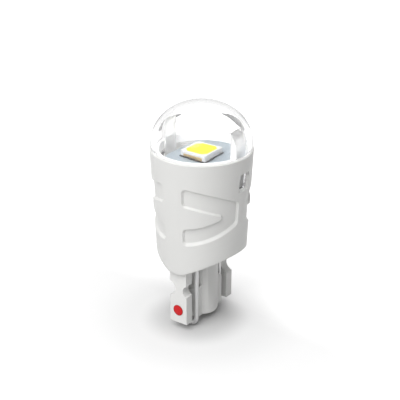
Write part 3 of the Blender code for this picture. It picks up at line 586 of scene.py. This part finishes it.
def chevron_outline():
    """Outline of one sunk chevron on the unrolled housing, its wall's width at each point, and the radius.

    A point holds the distance round from the blade's middle, and the height.
    """
    radius = housing_radius(CHEVRON_Z)

    def seen_straight(z, slope):
        """Height, by the distance round, of an edge that is straight in the view along Y."""
        return lambda s: z + slope * radius * math.cos(s / radius)

    top = seen_straight(CHEVRON_Z + CHEVRON_HALF_OPENING, CHEVRON_SLOPE)
    bottom = seen_straight(CHEVRON_Z - CHEVRON_HALF_OPENING, -CHEVRON_SLOPE)
    island_top = seen_straight(ISLAND_Z - ISLAND_HALF_OPENING, CHEVRON_SLOPE)
    island_bottom = seen_straight(ISLAND_Z + ISLAND_HALF_OPENING, -CHEVRON_SLOPE)

    s_end = radius * math.asin(CHEVRON_BAND_HALF_WIDTH / radius)
    s_side = radius * math.acos(CHEVRON_SIDE_X / radius)
    s_tip = radius * math.acos(ISLAND_HALF_OPENING / CHEVRON_SLOPE / radius)
    corners = (
        (s_end, top(s_end)),
        (s_side, top(s_side)),
        (s_side, bottom(s_side)),
        (s_end, bottom(s_end)),
        (s_end, island_bottom(s_end)),
        (s_tip, island_bottom(s_tip)),
        (s_end, island_top(s_end)),
    )
    # The edge that leaves each corner, or None for an upright one, the corner's round, and the edge's wall
    edges = (
        (top, CHEVRON_END_ROUND, CHEVRON_WALL_WIDTH),
        (None, CHEVRON_TOP_CORNER_ROUND, CHEVRON_WALL_WIDTH),
        (bottom, CHEVRON_LOW_CORNER_ROUND, CHEVRON_SILL_WIDTH),
        (None, CHEVRON_END_ROUND, CHEVRON_WALL_WIDTH),
        (island_bottom, CHEVRON_END_ROUND, CHEVRON_WALL_WIDTH),
        (island_top, ISLAND_TIP_ROUND, CHEVRON_WALL_WIDTH),
        (None, CHEVRON_END_ROUND, CHEVRON_WALL_WIDTH),
    )

    def neighbour(corner, other, curve):
        """A point towards the other corner, along the edge between them."""
        if curve is None:
            return other
        s = corner[0] + math.copysign(CHEVRON_TANGENT_STEP, other[0] - corner[0])
        return (s, curve(s))

    count = len(corners)
    arcs = []
    for i, corner in enumerate(corners):
        before = neighbour(corner, corners[i - 1], edges[i - 1][0])
        after = neighbour(corner, corners[(i + 1) % count], edges[i][0])
        arcs.append(arc_between(before, corner, after, edges[i][1]))

    points = []
    widths = []
    for i, arc in enumerate(arcs):
        curve = edges[i][0]
        width = edges[i][2]
        points += arc
        widths += np.linspace(edges[i - 1][2], width, len(arc)).tolist()
        if curve is None:
            continue
        next_arc = arcs[(i + 1) % count]
        for s in np.linspace(arc[-1][0], next_arc[0][0], CHEVRON_EDGE_STEPS + 1)[1:-1]:
            points.append((s, curve(s)))
            widths.append(width)
    return np.array(points), np.array(widths), radius


def share_of_wall(points, outline, widths):
    """Distance of each point inside the outline, in widths of the nearest wall. It is negative outside."""
    best = np.full(len(points), np.inf)
    inside = np.zeros(len(points), bool)
    ends = zip(outline, np.roll(outline, -1, axis=0), widths, np.roll(widths, -1))
    for a, b, width_a, width_b in ends:
        along = b - a
        t = np.clip(((points - a) @ along) / (along @ along), 0, 1)
        distance = np.linalg.norm(points - (a + t[:, None] * along), axis=1)
        best = np.minimum(best, distance / (width_a + (width_b - width_a) * t))
        crosses = (a[1] > points[:, 1]) != (b[1] > points[:, 1])
        if crosses.any():
            s = a[0] + (points[:, 1] - a[1]) * along[0] / along[1]
            inside ^= crosses & (points[:, 0] < s)
    return np.where(inside, best, -best)


def rounded_ramp(share):
    """Rises from 0 to 1 over a wall's width, with a short round at its lip and at its foot."""
    lip = CHEVRON_LIP_ROUND

    def from_lip(distance):
        above = np.clip(distance + lip, 0, None)
        return np.where(above < 2 * lip, above * above / (4 * lip), distance)

    return np.where(share > 0.5, 1 - from_lip(1 - share), from_lip(share))


def chevron_depth(theta, z):
    """How deep the chevrons are at points of the outer surface."""
    outline, widths, radius = chevron_outline()
    folded = np.arctan2(np.abs(np.sin(theta)), np.abs(np.cos(theta)))
    points = np.stack([folded * radius, z], axis=-1).reshape(-1, 2)
    low = outline.min(0) - CUT_MARGIN
    high = outline.max(0) + CUT_MARGIN
    near = np.all((points > low) & (points < high), axis=1)
    depth = np.zeros(len(points))
    depth[near] = CHEVRON_DEPTH * rounded_ramp(share_of_wall(points[near], outline, widths))
    return depth.reshape(theta.shape)


def outer_heights(theta, hem):
    """Heights of the rows from the hem's round to the rim's, close together over the chevrons."""
    outline = chevron_outline()[0]
    band_low = outline[:, 1].min() - CHEVRON_ROWS_MARGIN
    band_high = outline[:, 1].max() + CHEVRON_ROWS_MARGIN
    start = hem + HEM_ROUND
    shares = np.linspace(0, 1, ROWS_BELOW_CHEVRON, endpoint=False)
    below = [start + (band_low - start) * share for share in shares]
    levels = np.linspace(band_low, band_high, CHEVRON_ROWS).tolist()
    levels += np.linspace(band_high, RIM_Z - RIM_ROUND, ROWS_ABOVE_CHEVRON + 1)[1:].tolist()
    return np.array(below + [np.full_like(theta, level) for level in levels])


def housing_shell():
    """The sleeve as one fine grid, up the outside from the hem, over the rim and down the inside."""
    theta = np.linspace(0, 2 * math.pi, HOUSING_COLUMNS, endpoint=False)
    hem = np.full_like(theta, FOOT_Z + HEM_HEIGHT)
    for _ in range(HEM_FIT_STEPS):
        hem = hem_z(housing_radius(hem) * np.sin(theta))
    outer_z = outer_heights(theta, hem)
    outer_r = housing_radius(outer_z) - chevron_depth(np.broadcast_to(theta, outer_z.shape), outer_z)
    hem_r = housing_radius(hem)
    rim_r = RIM_RADIUS - RIM_ROUND
    quarter = [math.pi / 2 * i / ROUND_STEPS for i in range(ROUND_STEPS + 1)]

    rows = []
    for a in quarter[:-1]:
        rows.append((hem_r - HEM_ROUND * (1 - math.sin(a)), hem + HEM_ROUND * (1 - math.cos(a))))
    rows += zip(outer_r, outer_z)
    for a in quarter[1:]:
        rows.append((rim_r + RIM_ROUND * math.cos(a), RIM_Z - RIM_ROUND * (1 - math.sin(a))))
    for a in quarter:
        rows.append((
            POCKET_RADIUS + POCKET_LIP_ROUND * (1 - math.sin(a)),
            RIM_Z - POCKET_LIP_ROUND * (1 - math.cos(a)),
        ))
    rows += [
        (POCKET_RADIUS, SHOULDER_Z),
        (housing_radius(SHOULDER_Z) - WALL, SHOULDER_Z),
        (housing_radius(SKIRT_TOP_Z) - WALL, SKIRT_TOP_Z),
        (housing_radius(SKIRT_TOP_Z) - SKIRT_WALL, SKIRT_TOP_Z),
        (hem_r - SKIRT_WALL, hem),
    ]
    r = np.array([np.broadcast_to(radius, theta.shape) for radius, _ in rows])
    z = np.array([np.broadcast_to(height, theta.shape) for _, height in rows])
    points = np.stack([r * np.cos(theta), r * np.sin(theta), z], axis=-1).reshape(-1, 3)
    index = np.arange(r.size).reshape(r.shape)
    up = np.roll(index, -1, axis=0)
    faces = np.stack([index, np.roll(index, -1, axis=1), np.roll(up, -1, axis=1), up], axis=-1).reshape(-1, 4)
    return object_from_arrays("housing_shell", points.tolist(), faces.tolist())


def window_tool(side):
    """What one snap window and the groove for its leg take out of the housing."""
    shift = -side * WINDOW_SHIFT
    inner, outer = sorted((side * LEG_INNER_Y, side * CUT_REACH))
    window = box(
        "window_tool",
        (shift - WINDOW_WIDTH / 2, inner, WINDOW_TOP_Z - WINDOW_TALL),
        (shift + WINDOW_WIDTH / 2, outer, WINDOW_TOP_Z),
    )
    inner, outer = sorted((side * LEG_INNER_Y, side * (LEG_OUTER_Y + SLIDE_GAP)))
    groove = box(
        "groove_tool",
        (-LEG_HALF_WIDTH - SLIDE_GAP, inner, LEG_FOOT_Z - 2 * SLIDE_GAP),
        (LEG_HALF_WIDTH + SLIDE_GAP, outer, SHOULDER_Z + CUT_MARGIN),
    )
    return boolean(window, groove, "UNION")


def build_housing():
    """Moulded sleeve with rounded chevron walls, hem and rim, and its two snap windows."""
    housing = housing_shell()
    for side in (-1, 1):
        boolean(housing, window_tool(side), "DIFFERENCE")
    smooth(housing, angle=32)
    dress(housing, moulded_plastic("housing_plastic_fine", HOUSING_GREY, 0.42), "housing")


# Dome

def dome_profile(inset):
    """Profile of the dome at a distance inside its outer face, from its foot circle to its top."""
    radius = DOME_RADIUS - inset
    height = DOME_CROWN - inset
    points = []
    for i in range(DOME_ROWS):
        angle = math.pi / 2 * i / DOME_ROWS
        points.append((radius * math.cos(angle), DOME_SPRING_Z + height * math.sin(angle)))
    points.append((0, DOME_SPRING_Z + height))
    return points


def snap_leg(side):
    """One snap leg with its hook, ending inside the dome's wall."""
    foot_y = side * LEG_OUTER_Y
    leg = prism("leg_tool", [
        (side * LEG_INNER_Y, LEG_FOOT_Z),
        (foot_y, LEG_FOOT_Z),
        (foot_y, DOME_FOOT_Z + LEG_STEP),
        (side * CUT_REACH, DOME_FOOT_Z + LEG_STEP),
        (side * CUT_REACH, DOME_TOP_Z),
        (side * LEG_INNER_Y, DOME_TOP_Z),
    ], "X", -LEG_HALF_WIDTH, LEG_HALF_WIDTH)
    low = LEG_FOOT_Z - CUT_MARGIN
    limit = [(0, low), (DOME_RADIUS - LEG_WITHIN_DOME, low)] + dome_profile(LEG_WITHIN_DOME)
    boolean(leg, revolve("leg_limit", limit, DOME_COLUMNS), "INTERSECT")
    shift = -side * WINDOW_SHIFT
    root = side * (LEG_OUTER_Y - HOOK_ROOT_DEPTH)
    tip = side * (LEG_OUTER_Y + HOOK_REACH)
    hook = prism("hook_tool", [
        (root, HOOK_LOW_Z),
        (foot_y, HOOK_LOW_Z + HOOK_HEEL),
        (tip, HOOK_TOP_Z - HOOK_TIP),
        (tip, HOOK_TOP_Z),
        (root, HOOK_TOP_Z),
    ], "X", shift - HOOK_HALF_WIDTH, shift + HOOK_HALF_WIDTH)
    return boolean(leg, hook, "UNION")


def build_dome():
    """Clear shell with its seat ring and two snap legs, as one closed piece."""
    foot = [
        (DOME_RADIUS - DOME_WALL, DOME_FOOT_Z),
        (SEAT_RING_INNER, DOME_FOOT_Z),
        (SEAT_RING_INNER, SEAT_RING_LOW_Z),
        (SEAT_RING_OUTER, SEAT_RING_LOW_Z),
        (SEAT_RING_OUTER, DOME_FOOT_Z),
        (DOME_RADIUS - DOME_FOOT_BEVEL, DOME_FOOT_Z),
        (DOME_RADIUS, DOME_FOOT_Z + DOME_FOOT_BEVEL),
    ]
    profile = dome_profile(DOME_WALL)[::-1] + foot + dome_profile(0.0)
    dome = revolve("dome_shell", profile, DOME_COLUMNS)
    for side in (-1, 1):
        boolean(dome, snap_leg(side), "UNION")
    smooth(dome, angle=28)
    dome.visible_shadow = False
    dress(dome, clear_plastic("clear_plastic_fine"), "dome_lens")


# Base and wires

def build_base():
    base = smooth(welded_copy("wedge_base", "base_moulding"))
    weigh_normals(base)
    dress(base, moulded_plastic("base_plastic_fine", BASE_GREY, 0.45), "wedge_base")


def wire_route(low, high, radius, side):
    """Line of a contact wire: down a face of the base, round the loop under it and up into its slot."""
    x = (low.x + high.x) / 2
    face_y = side * (max(abs(low.y), abs(high.y)) - radius)
    slot_y = -side * (min(abs(low.y), abs(high.y)) - radius)
    bend = abs(face_y - slot_y) / 2
    centre_y = (face_y + slot_y) / 2
    centre_z = low.z + bend + radius
    points = [(x, face_y, SKIRT_TOP_Z - WIRE_END_BELOW_SKIRT_TOP)]
    for i in range(WIRE_BEND_STEPS + 1):
        angle = math.pi * i / WIRE_BEND_STEPS
        points.append((x, centre_y + side * bend * math.cos(angle), centre_z - bend * math.sin(angle)))
    points.append((x, slot_y, high.z))
    return points


def tube(name, points, radius):
    """Round wire along a line of points."""
    curve = bpy.data.curves.new(name + "_line", "CURVE")
    curve.dimensions = "3D"
    spline = curve.splines.new("POLY")
    spline.points.add(len(points) - 1)
    for spot, point in zip(spline.points, points):
        spot.co = (*point, 1.0)
    curve.bevel_depth = radius
    curve.bevel_resolution = WIRE_SIDE_STEPS
    curve.use_fill_caps = True
    line = add_object(name + "_line", curve)
    mesh = evaluated_mesh(line)
    bpy.data.objects.remove(line, do_unlink=True)
    return add_object(name, mesh)


def build_wires():
    material = tinned_wire("tinned_wire_fine")
    for side, hand in ((-1, "left"), (1, "right")):
        node = "contact_wire_" + hand
        low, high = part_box(node)
        radius = (high.x - low.x) / 2
        wire = tube("wire_" + hand, wire_route(low, high, radius, side), radius)
        dress(smooth(wire, angle=40), material, node)


# Board and LED

def build_board():
    board = rounded_copy("led_board", "board_disc", BOARD_ROUND)
    dress(board, solder_mask("board_mask_fine", BOARD_BLUE), "led_board")


def build_led():
    # Painted shade: a near-black plate, a little wider than the LED, for the shade in the gap beneath the
    # package
    foot = rounded_copy("led_base", "led_gap_shade", FILM_ROUND)
    dress(foot, plain_matte("led_gap_shade_fine", LED_GAP_SHADE, 0.5), "led_base")
    body = rounded_copy("led_frame", "led_body", LED_BODY_ROUND, segments=3, angle=50)
    dress(body, white_reflector("led_white_fine"), "led_frame")
    field = rounded_copy("led_phosphor", "led_field", LED_FIELD_ROUND, angle=40)
    dress(field, phosphor("phosphor_fine"), "led_phosphor")
    gold = plated("gold_contact_fine", GOLD, 0.36)
    for hand in ("left", "right"):
        strip = rounded_copy("led_contact_" + hand, "led_strip_" + hand, FILM_ROUND)
        dress(strip, gold, "led_contact_" + hand)


def build_dot():
    low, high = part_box("red_dot")
    dot = rounded_copy("red_dot", "dot_print", FILM_ROUND)
    paint = red_paint("red_paint_fine", (low + high) / 2, (high.z - low.z) / 2)
    dress(dot, paint, "red_dot")


def paint_inner_pieces():
    """Finishes for the sealed pieces, which keep their own solids."""
    finishes = (
        (plain_matte("thermal_pad_fine", (0.42, 0.47, 0.55), 0.75), ("thermal_pad",)),
        (plated("aluminium_fine", (0.66, 0.66, 0.67), 0.4), ("heat_sink",)),
        (solder_mask("driver_mask_fine", (0.05, 0.25, 0.12)), ("driver_board",)),
        (plain_matte("component_black_fine", (0.03, 0.03, 0.03), 0.5), ("bridge_rectifier", "driver_chip")),
        (plain_matte("component_tan_fine", (0.45, 0.33, 0.20), 0.5), ("capacitor_left", "capacitor_right")),
        (plain_matte("component_grey_fine", (0.12, 0.12, 0.13), 0.45),
         ("resistor_1", "resistor_2", "resistor_3", "resistor_4")),
        (tinned_wire("feed_pin_fine"), ("feed_pin_left", "feed_pin_right")),
    )
    for material, nodes in finishes:
        for node in nodes:
            for slot in NODES[node].material_slots:
                slot.material = material


# Studio

def build_camera():
    data = bpy.data.cameras.new("camera")
    data.sensor_width = CAMERA_SENSOR
    data.lens = CAMERA_LENS
    data.clip_start = CAMERA_CLIP_START
    data.clip_end = CAMERA_CLIP_END
    camera = add_object("camera", data)
    camera.location = (
        CAMERA_DISTANCE * math.sin(CAMERA_AZIMUTH),
        -CAMERA_DISTANCE * math.cos(CAMERA_AZIMUTH),
        CAMERA_HEIGHT,
    )
    camera.rotation_euler = (math.pi / 2 - CAMERA_PITCH, 0.0, CAMERA_AZIMUTH + CAMERA_TURN)
    bpy.context.scene.camera = camera


def add_light(name, place, diameter, power):
    data = bpy.data.lights.new(name, "AREA")
    data.shape = "DISK"
    data.size = diameter
    data.energy = power
    light = add_object(name, data)
    light.location = place
    light.rotation_euler = (Vector(LIGHT_TARGET) - Vector(place)).to_track_quat("-Z", "Y").to_euler()
    return light


def build_lights():
    add_light("overhead", *OVERHEAD_LIGHT)
    add_light("left_key", *LEFT_LIGHT).visible_glossy = False


def empty_nodes(owner):
    nodes = Nodes(owner)
    nodes.tree.nodes.clear()
    return nodes


def seen_directly(nodes):
    """1 for rays from the camera, in reflections and through glass, and 0 after a matte surface."""
    path = nodes.node("ShaderNodeLightPath").outputs
    sharp = nodes.calculate("MAXIMUM", path["Is Glossy Ray"], path["Is Transmission Ray"])
    seen = nodes.calculate("MAXIMUM", path["Is Camera Ray"], sharp)
    never_scattered = nodes.calculate("LESS_THAN", path["Diffuse Depth"], 0.5)
    return nodes.calculate("MULTIPLY", seen, never_scattered)


def build_floor():
    """Pale floor that keeps the object's shadow, with painted light that is weakest near the bulb and raised
    over the key light's shadow.
    """
    half = FLOOR_SIZE / 2
    corners = [(-half, -half, 0), (half, -half, 0), (half, half, 0), (-half, half, 0)]
    floor = object_from_arrays("floor", corners, [(0, 1, 2, 3)])
    material = bpy.data.materials.new("floor_paper")
    nodes = empty_nodes(material)
    place = nodes.node("ShaderNodeTexCoord").outputs["Object"]
    away = nodes.vector("DISTANCE", place, GLOW_CENTRE)["Value"]
    across = nodes.node("ShaderNodeSeparateXYZ", {"Vector": place}).outputs["X"]
    # Painted light, seen only directly: weakest near the bulb, and raised along X over the key light's shadow
    painted_light = 0.0
    for value, steps in ((away, GLOW_STEPS), (across, SIDE_GLOW_STEPS)):
        for start, end, gain in steps:
            painted_light = nodes.calculate("ADD", painted_light, nodes.spread(value, 0.0, gain, start, end, "SMOOTHSTEP"))
    level = nodes.calculate("MULTIPLY", seen_directly(nodes), painted_light)
    paper = nodes.node("ShaderNodeBsdfDiffuse", {"Color": (FLOOR_COLOUR, FLOOR_COLOUR, FLOOR_COLOUR, 1.0)})
    glow = nodes.node("ShaderNodeEmission", {"Strength": level})
    lit = nodes.node("ShaderNodeAddShader", {0: paper.outputs[0], 1: glow.outputs[0]})
    nodes.node("ShaderNodeOutputMaterial", {"Surface": lit.outputs[0]})
    floor.data.materials.append(material)


def build_world():
    """White where it is seen, and a dimmer even light on the object."""
    world = bpy.data.worlds.new("studio")
    bpy.context.scene.world = world
    nodes = empty_nodes(world)
    seen_sky = nodes.node("ShaderNodeBackground", {"Color": WHITE})
    lit_sky = nodes.node("ShaderNodeBackground", {"Color": WHITE, "Strength": SKY_LIGHT})
    mix = nodes.node("ShaderNodeMixShader", {
        0: seen_directly(nodes), 1: lit_sky.outputs[0], 2: seen_sky.outputs[0],
    })
    nodes.node("ShaderNodeOutputWorld", {"Surface": mix.outputs[0]})


def build_cards():
    """Two glowing grey cards behind the dome, which show only through its clear plastic as painted grey
    reflections.
    """
    material = bpy.data.materials.new("painted_reflection_card")
    nodes = empty_nodes(material)
    # Painted reflection: a flat grey glow, lit by no lamp
    grey = nodes.node("ShaderNodeEmission", {"Color": (REFLECTION_CARD_GREY, REFLECTION_CARD_GREY, REFLECTION_CARD_GREY, 1.0)})
    nodes.node("ShaderNodeOutputMaterial", {"Surface": grey.outputs[0]})
    camera = bpy.context.scene.camera
    turn = camera.rotation_euler.to_matrix()
    left = [(LEFT_CARD_CLOSER - across, up - LEFT_CARD_LOWER) for across, up in CARD_OUTLINE]
    for name, outline in (("card_left", left), ("card_right", CARD_OUTLINE)):
        corners = [camera.location + turn @ Vector((*spot, -CARD_DISTANCE)) for spot in outline]
        card = object_from_arrays(name, corners, [tuple(range(len(corners)))])
        card.data.materials.append(material)
        card.visible_camera = False
        card.visible_diffuse = False
        card.visible_glossy = False
        card.visible_shadow = False


bpy.context.scene.view_settings.view_transform = "Standard"
build_camera()
build_housing()
build_dome()
build_base()
build_wires()
build_board()
build_led()
build_dot()
paint_inner_pieces()
build_floor()
build_world()
build_cards()
build_lights()
